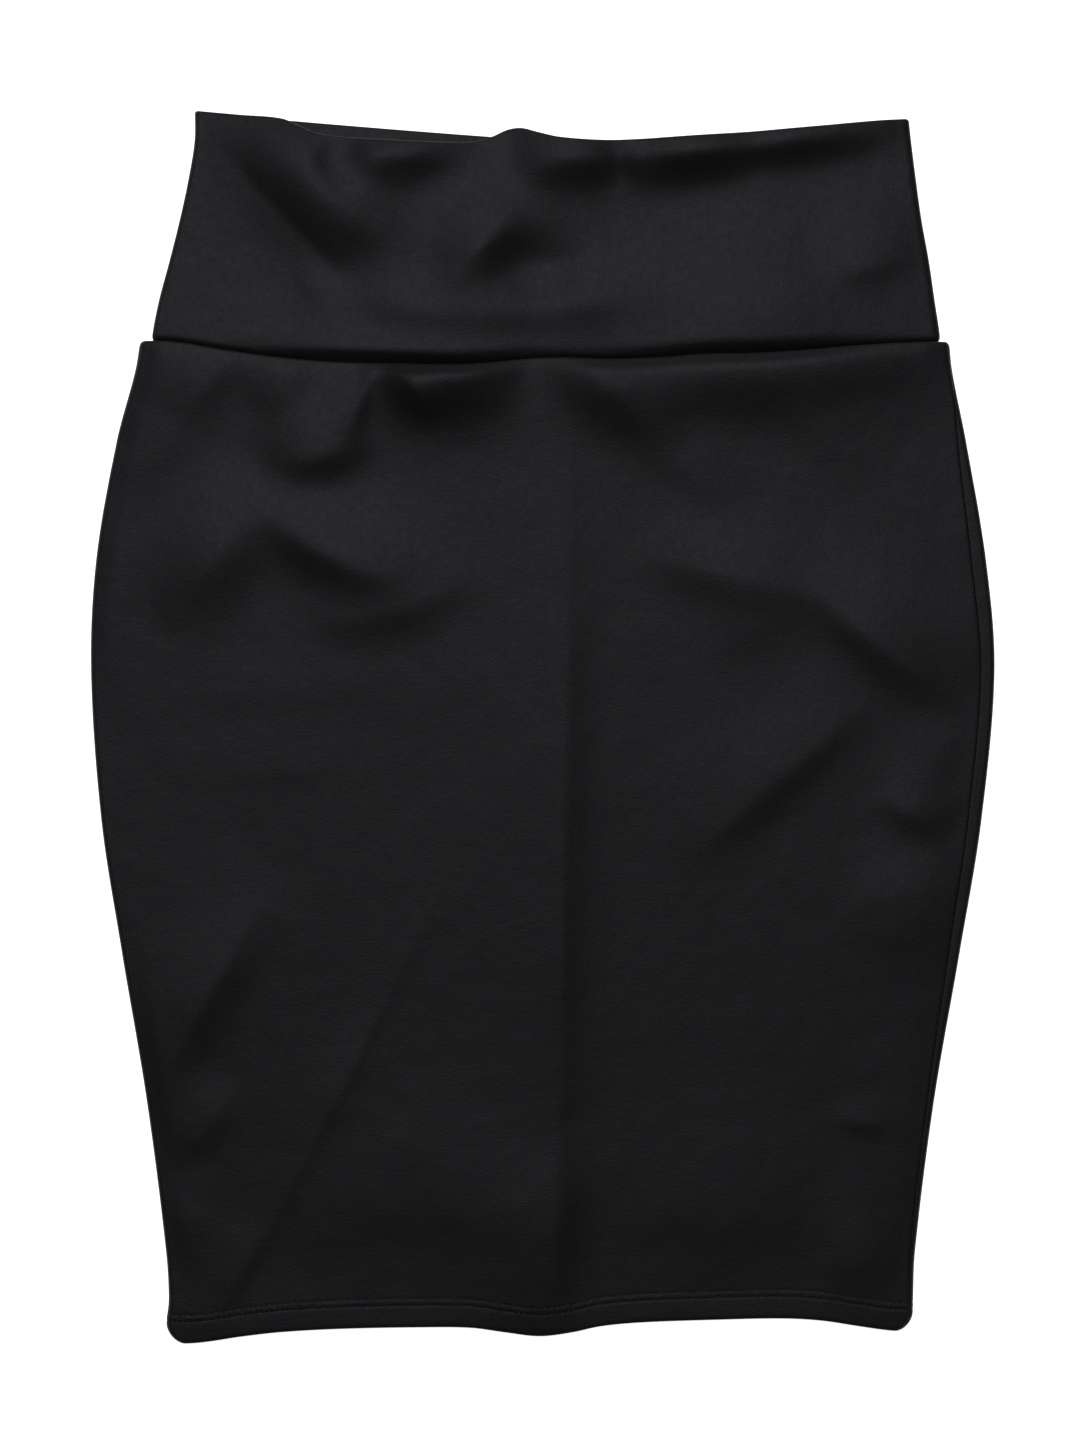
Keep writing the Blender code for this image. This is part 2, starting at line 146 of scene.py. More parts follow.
class Finish:
    def __init__(self, name):
        self.material = bpy.data.materials.new(name)
        self.material.use_nodes = True
        self.nodes = self.material.node_tree.nodes
        self.nodes.clear()

    def add(self, kind, settings, sockets):
        node = self.nodes.new(kind)
        for name, value in settings.items():
            setattr(node, name, value)
        for name, value in sockets.items():
            if isinstance(value, Level):
                value = value.socket
            if isinstance(value, bpy.types.NodeSocket):
                self.material.node_tree.links.new(value, node.inputs[name])
            else:
                node.inputs[name].default_value = value
        return node

    def noise(self, place, count, octaves=1, roughness=0.5):
        # unevenness from 0 to 1, with this many lumps to the metre
        sockets = {"Vector": place, "Scale": count, "Detail": octaves, "Roughness": roughness}
        return Level(self, self.add("ShaderNodeTexNoise", {}, sockets).outputs[0])

    def shade(self, sockets):
        skin = self.add("ShaderNodeBsdfPrincipled", {}, sockets)
        self.add("ShaderNodeOutputMaterial", {}, {"Surface": skin.outputs[0]})


# the knit's black in two tones: the deep one is painted shade for the hollows of its grain, the other
# painted light for its raised points
knit = {
    "paintedLightTone": (0.0042, 0.0042, 0.005, 1),
    "deep": (0.0014, 0.0014, 0.0018, 1),
    "grainShare": 0.6,
    "fleckShare": 0.4,
    "roughness": 0.52,
    "roughnessSpan": 0.12,
    "shine": 0.16,
    "nap": 0.06,
    "napRoughness": 0.45,
    "wales": (1.15, 1, 0),  # its unevenness is longer up the skirt than across
    "octaves": 2,
    "octaveShare": 0.55,
}
# unevenness of the knit: how many to the metre, and how deep in metres
knitRelief = {
    "grain": (850, 0.00012),
    "fleck": (260, 0.00008),
    "mottle": (60, 0.00024),
    "swell": (17, 0.0009),
}
# the gathering along the hem's sewing: where it is, how far it reaches, and as above
pucker = {"at": 0.0122, "reach": 0.0044, "count": 330, "depth": 0.00028}
threadLook = {
    "colour": (0.004, 0.004, 0.005, 1),
    "roughness": 0.5,
    "roughnessSpan": 0.1,
    "shine": 0.05,
    "twists": 2600,
    "twistDepth": 0.0002,
    "twistStrength": 0.6,
}


def knitCloth(name, turn):
    # fine plain knit, uneven along the wales at every size, with painted shade in the hollows of its
    # grain and painted light on its raised points
    cloth = Finish(name)
    place = cloth.add("ShaderNodeAttribute", {"attribute_name": "cloth"}, {}).outputs["Vector"]
    laid = {"Vector": place, "Scale": knit["wales"], "Location": (turn, 0, 0)}
    wales = cloth.add("ShaderNodeMapping", {}, laid).outputs[0]
    fromHem = cloth.add("ShaderNodeSeparateXYZ", {}, {"Vector": place}).outputs["Z"]
    offSewing = abs(Level(cloth, fromHem) - pucker["at"]) * (1 / pucker["reach"])
    puckers = cloth.noise(wales, pucker["count"])
    height = offSewing.maths("MAXIMUM", 1 - offSewing, 0) * (puckers - 0.5) * pucker["depth"]
    noises = {}
    for kind, (count, depth) in knitRelief.items():
        noises[kind] = cloth.noise(wales, count, knit["octaves"], knit["octaveShare"])
        height = noises[kind] * depth + height
    # painted shade and light: the tone follows the height of the same grain and flecks that make the
    # bump
    paintedLightShare = noises["grain"] * knit["grainShare"] + noises["fleck"] * knit["fleckShare"]
    blend = {"Factor": paintedLightShare, 6: knit["deep"], 7: knit["paintedLightTone"]}
    colour = cloth.add("ShaderNodeMix", {"data_type": "RGBA"}, blend)
    bump = cloth.add("ShaderNodeBump", {}, {"Height": height, "Distance": 1.0, "Strength": 1.0})
    cloth.shade(
        {
            "Base Color": colour.outputs[2],
            "Roughness": knit["roughness"] + (noises["fleck"] - 0.5) * knit["roughnessSpan"],
            "Specular IOR Level": knit["shine"],
            "Sheen Weight": knit["nap"],
            "Sheen Roughness": knit["napRoughness"],
            "Normal": bump.outputs[0],
        }
    )
    return cloth.material


def sewingThread():
    thread = Finish("sewing_thread")
    place = thread.add("ShaderNodeTexCoord", {}, {}).outputs["Object"]
    twist = thread.noise(place, threadLook["twists"])
    depth, strength = threadLook["twistDepth"], threadLook["twistStrength"]
    bump = thread.add("ShaderNodeBump", {}, {"Height": twist, "Distance": depth, "Strength": strength})
    thread.shade(
        {
            "Base Color": threadLook["colour"],
            "Roughness": threadLook["roughness"] + twist * threadLook["roughnessSpan"],
            "Specular IOR Level": threadLook["shine"],
            "Normal": bump.outputs[0],
        }
    )
    return thread.material


# ---- the lying skirt's outline

Side = namedtuple("Side", "y left right rolled stack")
Edge = namedtuple("Edge", "x y")
Corner = namedtuple("Corner", "wide tall cut")
Hold = namedtuple("Hold", "share reach")
Fold = namedtuple("Fold", "x y angle length rise left right bow crease")

# the sides, from the hem to the waist; rolled is how far round the side seams lie, over the
# front on the right and under the back on the left, and stack is both panels together there
skirtSides = (
    Side(y=-308, left=-187.4, right=184.2, rolled=3.6, stack=6.0),
    Side(y=-297, left=-188.0, right=184.8, rolled=3.6, stack=6.0),
    Side(y=-286, left=-186.9, right=185.0, rolled=3.8, stack=5.8),
    Side(y=-262, left=-188.3, right=186.0, rolled=4.2, stack=5.0),
    Side(y=-187, left=-197.9, right=195.5, rolled=5.0, stack=4.6),
    Side(y=-112, left=-210.5, right=208.5, rolled=7.1, stack=4.6),
    Side(y=-47, left=-220.6, right=219.2, rolled=8.3, stack=4.6),
    Side(y=28, left=-225.8, right=225.8, rolled=8.5, stack=4.6),
    Side(y=83, left=-223.3, right=221.6, rolled=9.0, stack=4.6),
    Side(y=143, left=-212.9, right=211.5, rolled=6.0, stack=5.0),
    Side(y=178, left=-203.6, right=204.5, rolled=1.6, stack=6.2),
    Side(y=194, left=-201.0, right=203.0, rolled=0.5, stack=6.6),
)
bandSides = (
    Side(y=180, left=-196.8, right=199.6, rolled=0, stack=5.8),
    Side(y=196, left=-195.2, right=198.4, rolled=0, stack=5.8),
    Side(y=213, left=-191.9, right=195.9, rolled=0, stack=5.6),
    Side(y=233, left=-186.6, right=193.0, rolled=0, stack=5.4),
    Side(y=253, left=-181.6, right=189.4, rolled=0, stack=5.4),
    Side(y=273, left=-177.3, right=186.6, rolled=0, stack=5.4),
    Side(y=293, left=-174.1, right=184.1, rolled=0, stack=5.4),
    Side(y=309, left=-174.0, right=182.4, rolled=0, stack=5.4),
)
hem = (
    Edge(x=-188, y=-307.4),
    Edge(x=-176, y=-307.6),
    Edge(x=-166, y=-306.6),
    Edge(x=-151, y=-304.3),
    Edge(x=-131, y=-302.0),
    Edge(x=-101, y=-300.3),
    Edge(x=-61, y=-299.5),
    Edge(x=-36, y=-299.7),
    Edge(x=-19, y=-301.9),
    Edge(x=-2, y=-303.8),
    Edge(x=14, y=-302.1),
    Edge(x=29, y=-299.0),
    Edge(x=49, y=-297.1),
    Edge(x=84, y=-295.8),
    Edge(x=119, y=-295.1),
    Edge(x=139, y=-296.2),
    Edge(x=159, y=-299.2),
    Edge(x=174, y=-301.2),
    Edge(x=186, y=-301.3),
)
waistSeam = (
    Edge(x=-204, y=193.2),
    Edge(x=-184, y=192.8),
    Edge(x=-160, y=189.0),
    Edge(x=-135, y=185.4),
    Edge(x=-110, y=183.2),
    Edge(x=-78, y=181.9),
    Edge(x=-47, y=180.9),
    Edge(x=-29, y=181.8),
    Edge(x=-7, y=184.3),
    Edge(x=9, y=184.9),
    Edge(x=31, y=184.0),
    Edge(x=54, y=184.6),
    Edge(x=80, y=186.5),
    Edge(x=109, y=187.1),
    Edge(x=132, y=188.6),
    Edge(x=160, y=191.0),
    Edge(x=184, y=192.4),
    Edge(x=205, y=192.8),
)
backWaistSeam = (
    Edge(x=-204, y=193.2),
    Edge(x=0, y=187.0),
    Edge(x=205, y=192.8),
)
frontTop = (
    Edge(x=-175, y=307.9),
    Edge(x=-151, y=305.4),
    Edge(x=-130, y=303.2),
    Edge(x=-121, y=299.3),
    Edge(x=-112, y=295.6),
    Edge(x=-98, y=293.8),
    Edge(x=-72, y=292.0),
    Edge(x=-48, y=291.4),
    Edge(x=-34, y=292.0),
    Edge(x=-25, y=294.6),
    Edge(x=-18, y=297.8),
    Edge(x=-11, y=298.7),
    Edge(x=-4, y=296.8),
    Edge(x=8, y=293.8),
    Edge(x=28, y=292.4),
    Edge(x=58, y=293.4),
    Edge(x=98, y=296.1),
    Edge(x=138, y=299.6),
    Edge(x=168, y=302.7),
    Edge(x=184, y=303.8),
)
backTop = (
    Edge(x=-175, y=307.9),
    Edge(x=-151, y=305.4),
    Edge(x=-111, y=301.9),
    Edge(x=-71, y=298.6),
    Edge(x=-36, y=295.9),
    Edge(x=-1, y=293.4),
    Edge(x=28, y=291.8),
    Edge(x=78, y=294.2),
    Edge(x=138, y=299.2),
    Edge(x=184, y=303.3),
)
hemCorner = Corner(wide=10.5, tall=10.5, cut=0.7)
shoulderCorner = Corner(wide=3.5, tall=4.0, cut=0.5)
bandTopCorner = Corner(wide=1.6, tall=2.2, cut=0.4)
noCorner = Corner(wide=0.0, tall=1.0, cut=0.0)

# how much a fold is held down at an edge, and from how far off
hemHold = Hold(share=0.0, reach=1)
skirtSeamHold = Hold(share=0.3, reach=7)
bandSeamHold = Hold(share=0.65, reach=6)
bandTopHold = Hold(share=0.08, reach=10)
# how steeply a sharp crest falls away, next to a soft one
crestSharpness = 1.4


def curve(rows, key, value):
    # a smooth line through a table's column, with its neighbours' slope at each row
    keys = np.array([getattr(row, key) for row in rows], float)
    values = np.array([getattr(row, value) for row in rows], float)
    low = np.maximum(np.arange(len(keys)) - 1, 0)
    high = np.minimum(np.arange(len(keys)) + 1, len(keys) - 1)
    slopes = (values[high] - values[low]) / (keys[high] - keys[low])

    def at(x):
        x = np.clip(x, keys[0], keys[-1])
        i = np.clip(np.searchsorted(keys, x, side="right") - 1, 0, len(keys) - 2)
        width = keys[i + 1] - keys[i]
        t = (x - keys[i]) / width
        start = values[i] * (1 + 2 * t) * (1 - t) ** 2 + slopes[i] * width * t * (1 - t) ** 2
        end = values[i + 1] * (3 - 2 * t) * t**2 + slopes[i + 1] * width * (t - 1) * t**2
        return start + end

    return at


def ease(share):
    share = np.clip(share, 0, 1)
    return share * share * (3 - 2 * share)


def rounding(distance, radius):
    # how far a rounded edge has drawn back, this far from its end
    left = np.clip(distance, 0, radius) if radius > 0 else distance
    return radius - np.sqrt(np.maximum(radius**2 - (radius - left) ** 2, 0))


def ridges(folds, x, y):
    total = np.zeros_like(x)
    for fold in folds:
        direction = math.radians(fold.angle)
        along = (x - fold.x) * math.cos(direction) + (y - fold.y) * math.sin(direction)
        across = (y - fold.y) * math.cos(direction) - (x - fold.x) * math.sin(direction)
        fade = np.clip(1 - (2 * along / fold.length) ** 2, 0, 1)
        across = across - fold.bow * fade
        fall = np.abs(across) / np.where(across > 0, fold.left, fold.right)
        soft, sharp = np.exp(-(fall**2)), np.exp(-crestSharpness * fall)
        total += fold.rise * fade**2 * (soft + fold.crease * (sharp - soft))
    return total


# ---- creases: a ridge's middle, its crest's angle and length, its rise (a trough's is less than
# nothing), how far it falls away on the left and right of that angle, how far its middle bows to
# the left, and how sharp its crest is

skirtFolds = (
    # down from the seam on the left
    Fold(x=-168, y=174, angle=54, length=58, rise=1.7, left=40, right=11, bow=0, crease=0),
    Fold(x=-190, y=148, angle=52, length=100, rise=1.8, left=34, right=20, bow=0, crease=0),
    Fold(x=-128, y=174, angle=56, length=50, rise=1.7, left=30, right=11, bow=0, crease=0),
    # the pinch in the seam, and the pouch that hangs from it
    Fold(x=-90, y=165, angle=68, length=58, rise=2.3, left=14, right=6, bow=0, crease=0.4),
    Fold(x=-112, y=143, angle=14, length=72, rise=4.0, left=26, right=12, bow=-6, crease=0),
    Fold(x=-49, y=181, angle=8, length=94, rise=7.8, left=12, right=20, bow=-5, crease=0),
    Fold(x=-65, y=169, angle=-50, length=48, rise=2.4, left=8, right=7, bow=0, crease=0.2),
    # the left hip
    Fold(x=-161, y=87, angle=55, length=106, rise=3.9, left=30, right=18, bow=0, crease=0.1),
    Fold(x=-103, y=96, angle=-27, length=108, rise=4.2, left=26, right=12, bow=-11, crease=0.2),
    Fold(x=-77, y=69, angle=16, length=115, rise=2.5, left=30, right=13, bow=-9, crease=0),
    Fold(x=-225, y=75, angle=85, length=149, rise=1.6, left=48, right=20, bow=0, crease=0),
    Fold(x=-126, y=20, angle=1, length=243, rise=0.4, left=26, right=11, bow=0, crease=0),
    Fold(x=-135, y=-21, angle=1, length=139, rise=0.4, left=21, right=9, bow=0, crease=0),
    # under the seam on the right
    Fold(x=34, y=168, angle=-41, length=98, rise=4.2, left=22, right=16, bow=0, crease=0.1),
    Fold(x=72, y=132, angle=-42, length=84, rise=1.3, left=24, right=12, bow=0, crease=0),
    Fold(x=112, y=191, angle=6, length=236, rise=4.8, left=12, right=20, bow=-11, crease=0),
    Fold(x=140, y=149, angle=-42, length=84, rise=1.2, left=30, right=15, bow=0, crease=0),
    # the right hip
    Fold(x=98, y=78, angle=-13, length=128, rise=2.6, left=26, right=13, bow=-4, crease=0.2),
    Fold(x=103, y=54, angle=-6, length=75, rise=1.3, left=20, right=20, bow=0, crease=0),
    Fold(x=167, y=44, angle=-39, length=120, rise=3.9, left=30, right=13, bow=-2, crease=0.3),
    Fold(x=118, y=-25, angle=41, length=154, rise=2.3, left=28, right=11, bow=0, crease=0.1),
    Fold(x=184, y=-43, angle=-32, length=50, rise=1.9, left=18, right=8, bow=0, crease=0),
    Fold(x=198, y=-14, angle=74, length=45, rise=0.7, left=14, right=8, bow=0, crease=0),
    Fold(x=178, y=-86, angle=12, length=72, rise=2.2, left=24, right=30, bow=0, crease=0),
    # pressed down the middle
    Fold(x=10, y=-70, angle=89, length=560, rise=3.0, left=44, right=13, bow=0, crease=0.6),
    Fold(x=2, y=-258, angle=83, length=129, rise=3.0, left=34, right=16, bow=0, crease=0),
    # the lower left
    Fold(x=-166, y=-133, angle=61, length=148, rise=3.2, left=30, right=13, bow=0, crease=0.4),
    Fold(x=-169, y=-200, angle=51, length=66, rise=1.5, left=40, right=9, bow=0, crease=0.3),
    Fold(x=-176, y=-244, angle=85, length=60, rise=0.9, left=18, right=10, bow=0, crease=0),
    Fold(x=-108, y=-190, angle=63, length=310, rise=0.8, left=13, right=4.2, bow=-3, crease=0.9),
    Fold(x=-97, y=-176, angle=68, length=71, rise=0.5, left=22, right=9, bow=0, crease=0),
    Fold(x=-150, y=-270, angle=64, length=56, rise=1.2, left=30, right=6, bow=0, crease=0.7),
    Fold(x=-62, y=-234, angle=2, length=189, rise=2.1, left=50, right=36, bow=0, crease=0),
    # the lower right
    Fold(x=159, y=-198, angle=-10, length=38, rise=0.8, left=10, right=4, bow=0, crease=0.3),
    Fold(x=180, y=-192, angle=85, length=245, rise=0.4, left=16, right=9, bow=0, crease=0),
    Fold(x=85, y=-241, angle=2, length=153, rise=2.1, left=50, right=32, bow=0, crease=0),
    Fold(x=157, y=-264, angle=9, length=50, rise=2.0, left=34, right=16, bow=0, crease=0),
    # the hem's edge, which turns up a little
    Fold(x=-60, y=-303, angle=0, length=300, rise=0.6, left=12, right=20, bow=3, crease=0),
    Fold(x=100, y=-299, angle=0, length=230, rise=0.6, left=12, right=20, bow=3, crease=0),
)
bandFolds = (
    # under the top edge
    Fold(x=-101, y=284, angle=30, length=36, rise=-2.6, left=9, right=18, bow=0, crease=0),
    Fold(x=-69, y=288, angle=8, length=84, rise=6.0, left=20, right=14, bow=0, crease=0),
    Fold(x=18, y=285, angle=6, length=76, rise=5.8, left=60, right=13, bow=0, crease=0),
    Fold(x=67, y=288, angle=5, length=84, rise=7.0, left=22, right=14, bow=0, crease=0),
    Fold(x=122, y=294, angle=8, length=138, rise=5.6, left=18, right=11, bow=0, crease=0),
    Fold(x=38, y=282, angle=100, length=36, rise=-1.5, left=7, right=6, bow=0, crease=0),
    # across the face
    Fold(x=-112, y=268, angle=-47, length=152, rise=8.2, left=34, right=28, bow=1, crease=0),
    Fold(x=-128, y=253, angle=-47, length=138, rise=-2.4, left=16, right=30, bow=1, crease=1),
    Fold(x=-94, y=227, angle=28, length=48, rise=-2.7, left=17, right=22, bow=0, crease=0),
    Fold(x=-31, y=239, angle=42, length=76, rise=5.0, left=26, right=13, bow=0, crease=0.2),
    Fold(x=-10, y=250, angle=0, length=96, rise=1.7, left=36, right=44, bow=0, crease=0),
    Fold(x=-2, y=229, angle=-6, length=62, rise=-3.0, left=14, right=26, bow=0, crease=0),
    Fold(x=110, y=214, angle=8, length=96, rise=1.4, left=52, right=24, bow=0, crease=0),
    Fold(x=164, y=232, angle=16, length=60, rise=1.9, left=24, right=11, bow=0, crease=0),
    Fold(x=-28, y=220, angle=2, length=230, rise=3.2, left=19, right=13, bow=-11, crease=0),
    Fold(x=-80, y=219, angle=-10, length=100, rise=1.8, left=18, right=12, bow=-3, crease=0),
    Fold(x=-7, y=275, angle=3, length=149, rise=1.7, left=58, right=24, bow=0, crease=0),
    # swelling above the waist seam
    Fold(x=-70, y=185, angle=-3, length=200, rise=4.2, left=20, right=5, bow=-2, crease=0),
    Fold(x=95, y=190, angle=3, length=204, rise=3.0, left=50, right=5, bow=0, crease=0),
)
# underneath, where the cloth lifts a little off what it lies on
skirtBackFolds = (
    Fold(x=-96, y=132, angle=38, length=130, rise=0.6, left=20, right=9, bow=4, crease=0.2),
    Fold(x=118, y=88, angle=-24, length=150, rise=0.7, left=12, right=24, bow=-5, crease=0.2),
    Fold(x=-10, y=-60, angle=87, length=420, rise=0.5, left=12, right=30, bow=2, crease=0.5),
    Fold(x=-140, y=-112, angle=-58, length=120, rise=0.6, left=9, right=20, bow=0, crease=0.1),
    Fold(x=104, y=-176, angle=62, length=170, rise=0.4, left=18, right=10, bow=-3, crease=0.3),
)
bandBackFolds = (
    Fold(x=-84, y=252, angle=-36, length=96, rise=0.8, left=24, right=11, bow=2, crease=0.1),
    Fold(x=60, y=236, angle=12, length=150, rise=0.7, left=12, right=26, bow=-4, crease=0),
)

# ---- the shells

shell = {
    "ply": 1.1,
    "doubled": 2.2,
    "seamWall": 2.6,
    "seamGap": 0.25,
    "leastInside": 0.4,
    "hemDepth": 15.5,
    "hemFade": 2,  # in how far the turned-up hem thins out to one layer
    "hemRoll": 1.8,  # how much wider than deep its turned edge is
    "allowance": 7.0,
    "allowanceEnd": 13.0,
    "lipRadius": 1.8,
    "footTuck": 1.6,  # how far the waistband runs on under the skirt's edge
    "footRadius": 4.2,
    "footEdge": 0.25,  # what is left of the band's wall there
    "sideFade": 12.0,
    "lowestSkirt": -1.2,
    "lowestBand": -0.5,
    "seamRoll": 0.14,  # how far the cloth dips into a side seam
    "seamReach": 1.1,
}
# the hem's twin-needle rows, and the ridge that the two needles raise between them
hemRows = (
    {"at": 11.0, "sink": 0.13, "long": 2.1, "thick": 0.95},
    {"at": 14.3, "sink": 0.08, "long": 1.9, "thick": 0.7},
)
hemSewing = {
    "tunnel": 0.05,
    "tunnelWidth": 1.2,
    "grooveWidth": 0.6,
    "start": -183.5,
    "end": 181.5,
    "sideClearance": 2.6,
    "pitch": 2.7,
    "thickness": 0.3,
    "shortest": 0.8,  # as a share of its row's length
    "unevenness": 0.4,
    "skew": 0.08,
}
stitchSeeds = {"front": 3, "back": 7}
# columns of a shell's grid: their distances from a side seam, how many go round the side from
# there, and how far past it they reach
closeWays = (0, 0.35, 0.8, 1.4, 2.2, 3.2)
sideColumns = 12
pastSide = 2
# the rounds in which a row's ends settle on the outline
rowEndRounds = 8


class Tube:
    def __init__(self, sides, lower, upper, corners, holds, folds, lowest, creasedOnTop):
        self.left, self.right = curve(sides, "y", "left"), curve(sides, "y", "right")
        self.rolled, self.stack = curve(sides, "y", "rolled"), curve(sides, "y", "stack")
        self.lower, self.upper = curve(lower, "x", "y"), curve(upper, "x", "y")
        self.lowCorner, self.highCorner = corners
        self.lowHold, self.highHold = holds
        self.folds, self.lowest, self.creasedOnTop = folds, lowest, creasedOnTop

    def cutIn(self, corner, distance):
        return corner.wide * rounding((distance + corner.cut) / corner.tall, 1)

    def rowY(self, share, offset, x):
        return self.lower(x) + (self.upper(x) - self.lower(x)) * share + offset

    def rowEnds(self, share, offset, side, inwards):
        x = side(share * 0)
        for _ in range(rowEndRounds):
            y = self.rowY(share, offset, x)
            lowCut = self.cutIn(self.lowCorner, y - self.lower(x))
            highCut = self.cutIn(self.highCorner, self.upper(x) - y)
            x = side(y) + inwards * (lowCut + highCut)
        return x, y

    def relief(self, x, y):
        high = np.maximum(ridges(self.folds, x, y), self.lowest)
        edges = ((y - self.lower(x), self.lowHold), (self.upper(x) - y, self.highHold))
        for distance, hold in edges:
            high = high * (1 - hold.share * (1 - ease(distance / hold.reach)))
        fromLeft, fromRight = x - self.left(y), self.right(y) - x
        return high * ease(fromLeft / shell["sideFade"]) * ease(fromRight / shell["sideFade"])

    def grid(self, rows, waysOf):
        share = np.array([row[0] for row in rows])[:, None]
        offset = np.array([row[1] for row in rows])[:, None]
        left, leftY = self.rowEnds(share, offset, self.left, 1)
        right, rightY = self.rowEnds(share, offset, self.right, -1)
        radius = self.stack((leftY + rightY) / 2) / 2
        quarter = math.pi * radius / 2
        over = 2 * quarter + right - left - 2 * radius
        way = waysOf(over, quarter, self.rolled(rightY))
        onTop = (way >= 0) & (way <= over)
        lift = np.where(onTop, 1, -1)
        fromLeft, fromRight = np.minimum(np.abs(way), 2 * over - way), np.abs(way - over)
        nearest = np.minimum(fromLeft, fromRight)
        turn = np.minimum(nearest, quarter) / radius
        inwards = radius - radius * np.cos(turn) + np.maximum(nearest - quarter, 0)
        x = np.where(fromLeft <= fromRight, left + inwards, right - inwards)
        z = radius + lift * radius * np.sin(turn)
        y = self.rowY(share, offset, x)
        low, high = y - self.lower(x), self.upper(x) - y
        return x, y, z, onTop, low, high, way, way - over / 2, radius


def alongWays(start, rounded, end, columns):
    # close together by both seams and round the side, and even between them
    close, last = np.array(closeWays), closeWays[-1]
    parts = [
        start - shell["seamGap"] + 0 * rounded,
        start + close,
        start + last + (rounded - start - last) * np.arange(1, sideColumns + 1) / sideColumns,
        rounded + (end - last - rounded) * np.arange(1, columns) / columns,
        end - close[::-1],
        end + shell["seamGap"] + 0 * rounded,
    ]
    return np.concatenate(parts, axis=1)


def frontWays(columns):
    def ways(over, quarter, rolled):
        half = shell["seamGap"] / 2
        rounded = quarter + pastSide + 0 * over
        return alongWays(half - rolled, rounded, over - rolled - half, columns)

    return ways


def backWays(columns):
    def ways(over, quarter, rolled):
        half = shell["seamGap"] / 2
        rounded = over + quarter + pastSide
        return alongWays(over - rolled + half, rounded, 2 * over - rolled - half, columns)

    return ways


def rowsBetween(lowSteps, highSteps, count):
    rows = [(0, step) for step in lowSteps]
    for n in range(1, count + 1):
        share = n / (count + 1)
        rows.append((share, lowSteps[-1] * (1 - share) - highSteps[0] * share))
    return rows + [(1, -step) for step in highSteps]


def hemTunnel(low):
    middle = (hemRows[0]["at"] + hemRows[1]["at"]) / 2
    ridge = np.exp(-(((low - middle) / hemSewing["tunnelWidth"]) ** 2)) * hemSewing["tunnel"]
    grooves = 0
    for row in hemRows:
        grooves = grooves + np.exp(-(((low - row["at"]) / hemSewing["grooveWidth"]) ** 2)) * row["sink"]
    return ridge - grooves


def skirtProfile(low, high):
    turnedUp = ease((shell["hemDepth"] + shell["hemFade"] - low) / shell["hemFade"])
    wall = shell["ply"] + (shell["doubled"] - shell["ply"]) * turnedUp
    atSeam = ease((shell["allowanceEnd"] - high) / (shell["allowanceEnd"] - shell["allowance"]))
    wall = wall + (shell["seamWall"] - shell["ply"]) * atSeam
    fold = rounding(low / shell["hemRoll"], shell["ply"] - shell["seamGap"] / 2)
    outer = fold + rounding(high, shell["lipRadius"])
    lean = ease(low / shell["hemDepth"]) * ease(high / shell["allowance"])
    return wall, outer - hemTunnel(low), fold, lean


def bandProfile(low, high):
    fold = rounding(high, shell["ply"] - shell["seamGap"] / 2)
    foot = rounding(low + shell["footTuck"], shell["footRadius"])
    foot = np.minimum(foot, shell["doubled"] - shell["footEdge"])
    return shell["doubled"] + 0 * low, fold + foot, fold, ease(low / shell["allowance"])


def asObject(name, maker):
    mesh = bpy.data.meshes.new(name)
    maker.to_mesh(mesh)
    maker.free()
    mesh.shade_smooth()
    piece = bpy.data.objects.new(name, mesh)
    bpy.context.scene.collection.objects.link(piece)
    return piece


def clothShell(name, tube, rows, waysOf, profile, hemmed):
    # the outer skin is a grid laid round the tube, and the inner one a wall's thickness below
    x, y, z, onTop, low, high, way, fromMiddle, radius = tube.grid(rows, waysOf)
    z = z + np.where(onTop == tube.creasedOnTop, tube.relief(x, y), 0)
    across, along = x.shape[1] - 1, x.shape[0] - 1
    wall, outer, inner, lean = profile(low, high)
    fromSeam = np.minimum(way - way[:, 1:2], way[:, -2:-1] - way)
    outer = outer + shell["seamRoll"] * (1 - ease(fromSeam / shell["seamReach"]))
    wall = np.minimum(wall, radius - shell["leastInside"]) - outer - inner
    maker = bmesh.new()
    bmesh.ops.create_grid(maker, x_segments=across, y_segments=along, size=1)
    clothLayer = maker.verts.layers.float_vector.new("cloth")
    grid = {}
    for vertex in maker.verts:
        row = round((vertex.co.y + 1) / 2 * along)
        column = round((vertex.co.x + 1) / 2 * across)
        grid[row, column] = vertex
        vertex.co = Vector((x[row, column], y[row, column], z[row, column])) * mm
        fromHem = hemmed * low[row, column]
        vertex[clothLayer] = Vector((fromMiddle[row, column], y[row, column], fromHem)) * mm
    maker.normal_update()
    nextPiece = {1: 0, across - 1: across}
    inwards = {key: -grid[key[0], nextPiece.get(key[1], key[1])].normal for key in grid}
    thickness = {}
    for key, vertex in grid.items():
        vertex.co += inwards[key] * Vector((1, 0, 1)) * outer[key] * mm
        thickness[vertex] = inwards[key] * Vector((1, lean[key], 1)) * wall[key] * mm
    beyondSeams = [vertex for key, vertex in grid.items() if key[1] in (0, across)]
    bmesh.ops.delete(maker, geom=beyondSeams, context="VERTS")
    outerSkin = list(maker.verts)
    copied = bmesh.ops.duplicate(maker, geom=maker.faces[:])
    for vertex in outerSkin:
        copied["vert_map"][vertex].co += thickness[vertex]
    insideFaces = [part for part in copied["geom"] if isinstance(part, bmesh.types.BMFace)]
    bmesh.ops.reverse_faces(maker, faces=insideFaces)
    bmesh.ops.bridge_loops(maker, edges=[edge for edge in maker.edges if edge.is_boundary])
    piece = asObject(name, maker)
    print(name, len(piece.data.polygons), "faces")
    return piece


pieceSizes = {
    "skirtFront": {"columns": 168, "rows": 150},
    "skirtBack": {"columns": 60, "rows": 150},
    "bandFront": {"columns": 150, "rows": 40},
    "bandBack": {"columns": 60, "rows": 40},
}
